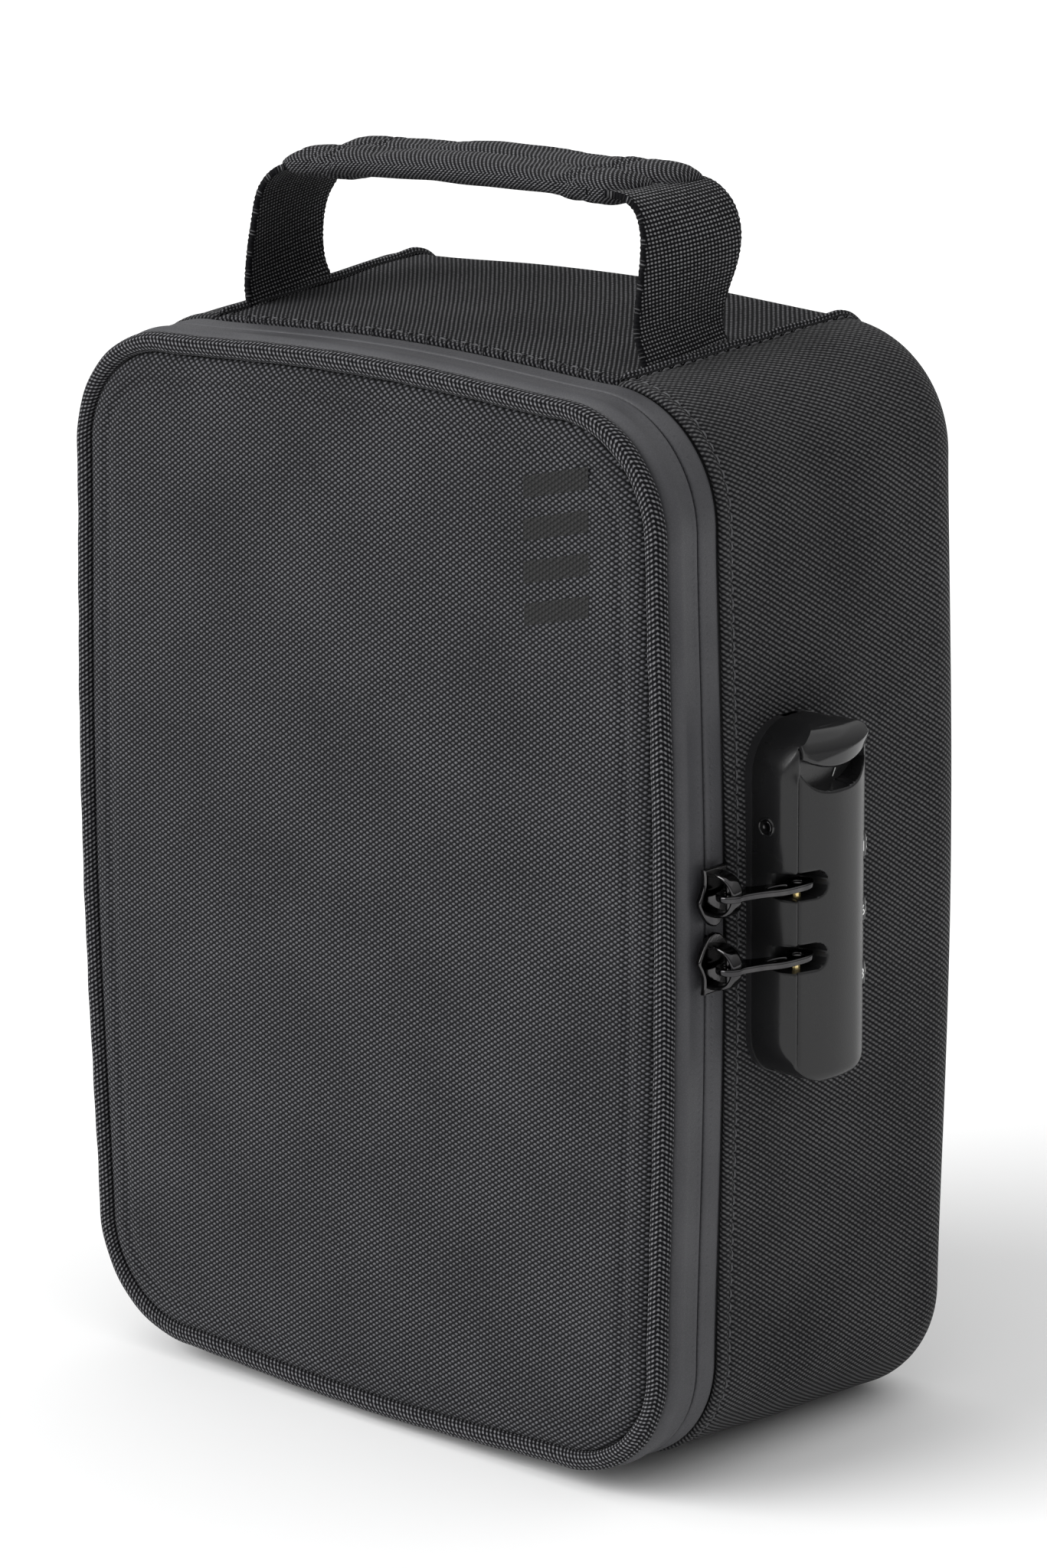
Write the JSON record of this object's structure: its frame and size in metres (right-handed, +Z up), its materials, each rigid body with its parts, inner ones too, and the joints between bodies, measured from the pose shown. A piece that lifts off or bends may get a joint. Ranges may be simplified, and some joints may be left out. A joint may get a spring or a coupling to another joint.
{
  "type": "lipo safe bag",
  "caption": "Zipped hard-sided fabric case with a fire-resistant lining, dividers, a side combination lock that holds both zip pulls, and a webbing handle.",
  "frame": {"origin": "on the flat of the base, at the middle of the case's width and depth", "axes": "+Z up, from the base to the handle; -Y out of the front lid; +X to the side with the lock"},
  "size_m": [0.1984, 0.1028, 0.2864],
  "materials": {
    "fabric": "matte charcoal-black woven polyester",
    "piping": "matte bias-cut woven polyester over a cord",
    "foam": "matte closed-cell foam",
    "lining": "satin grey coated glass-fibre cloth",
    "zip_tape": "matte dark grey coating with a fine leather grain",
    "zip_coil": "satin black nylon",
    "webbing": "matte black polyester webbing",
    "pocket_mesh": "black knitted mesh",
    "lock_plastic": "fine-textured satin black",
    "button_plastic": "smooth satin black",
    "dial_plastic": "black with white digits",
    "black_nickel": "polished black nickel plate",
    "zinc": "zinc-plated",
    "brass": "bright brass"
  },
  "bodies": {
    "case": {"rear_shell": "foam", "top_panel": "fabric", "left_panel": "fabric", "base_panel": "fabric", "right_panel": "fabric", "back_panel": "fabric", "body_lining": "lining", "divider_lower": "lining", "divider_upper": "lining", "body_zip_tape": "zip_tape", "body_zip_coil": "zip_coil", "hinge_strip_body": "fabric", "lock_housing": "lock_plastic", "lock_base_plate": "zinc", "lock_backing_plate": "zinc", "lock_screw_lower": "zinc", "lock_screw_upper": "zinc", "dial_spindle": "zinc", "latch_spring": "zinc"},
    "lid": {"lid_panel": "fabric", "lid_piping": "piping", "lid_shell": "foam", "lid_zip_tape": "zip_tape", "lid_zip_coil": "zip_coil", "hinge_strip_lid": "fabric", "lid_lining": "lining", "lid_pocket": "pocket_mesh", "pocket_binding": "webbing"},
    "slider_lower": {"slider_lower": "black_nickel"},
    "slider_upper": {"slider_upper": "black_nickel"},
    "pull_lower": {"pull_lower": "black_nickel"},
    "pull_upper": {"pull_upper": "black_nickel"},
    "latch": {"release_button": "button_plastic", "latch_bar": "brass"},
    "reset": {"reset_button": "zinc"},
    "dial_lower": {"dial_lower": "dial_plastic"},
    "dial_middle": {"dial_middle": "dial_plastic"},
    "dial_upper": {"dial_upper": "dial_plastic"},
    "leg_left": {"handle_leg_left": "webbing"},
    "leg_right": {"handle_leg_right": "webbing"},
    "grip": {"handle_webbing": "webbing", "handle_grip": "fabric"}
  },
  "joints": [
    {"name": "lid_hinge", "type": "hinge", "parent": "case", "child": "lid", "pos_m": [-0.0904, -0.037, 0.1245], "axis": [0, 0, -1], "range_deg": [0, 170]},
    {"name": "slider_lower_play", "type": "slide", "parent": "case", "child": "slider_lower", "axis": [0, 0, 1], "range_m": [-0.0012, 0.0012]},
    {"name": "slider_upper_play", "type": "slide", "parent": "case", "child": "slider_upper", "axis": [0, 0, 1], "range_m": [-0.0012, 0.0012]},
    {"name": "pull_lower_swing", "type": "hinge", "parent": "slider_lower", "child": "pull_lower", "pos_m": [0.0952, -0.0366, 0.1242], "axis": [0, 0, -1], "range_deg": [0, 150]},
    {"name": "pull_upper_swing", "type": "hinge", "parent": "slider_upper", "child": "pull_upper", "pos_m": [0.0952, -0.0366, 0.1404], "axis": [0, 0, -1], "range_deg": [0, 150]},
    {"name": "release_press", "type": "slide", "parent": "case", "child": "latch", "axis": [0, 0, -1], "range_m": [0, 0.0045], "stiffness_N_per_m": 400, "springref_m": -0.003, "deforming": ["latch_spring"]},
    {"name": "reset_press", "type": "slide", "parent": "case", "child": "reset", "axis": [0, 1, 0], "range_m": [0, 0.0009], "stiffness_N_per_m": 400, "springref_m": -0.001},
    {"name": "dial_lower_turn", "type": "hinge", "parent": "case", "child": "dial_lower", "pos_m": [0.0983, -0.0023, 0.1163], "axis": [0, 0, 1], "continuous": true},
    {"name": "dial_middle_turn", "type": "hinge", "parent": "case", "child": "dial_middle", "pos_m": [0.0983, -0.0023, 0.1307], "axis": [0, 0, 1], "continuous": true},
    {"name": "dial_upper_turn", "type": "hinge", "parent": "case", "child": "dial_upper", "pos_m": [0.0983, -0.0023, 0.1451], "axis": [0, 0, 1], "continuous": true},
    {"name": "handle_lean", "type": "hinge", "parent": "case", "child": "leg_left", "pos_m": [-0.0583, -0.005, 0.249], "axis": [0, 1, 0], "range_deg": [-70, 70]},
    {"name": "grip_level", "type": "hinge", "parent": "leg_left", "child": "grip", "pos_m": [-0.0583, -0.005, 0.27], "axis": [0, 1, 0], "range_deg": [-70, 70]},
    {"name": "leg_right_lean", "type": "hinge", "parent": "grip", "child": "leg_right", "pos_m": [0.0583, -0.005, 0.27], "axis": [0, 1, 0], "range_deg": [-70, 70]}
  ],
  "couplings": [
    {"joint": "leg_right_lean", "follows": "handle_lean", "ratio": 1},
    {"joint": "grip_level", "follows": "handle_lean", "ratio": -1}
  ]
}
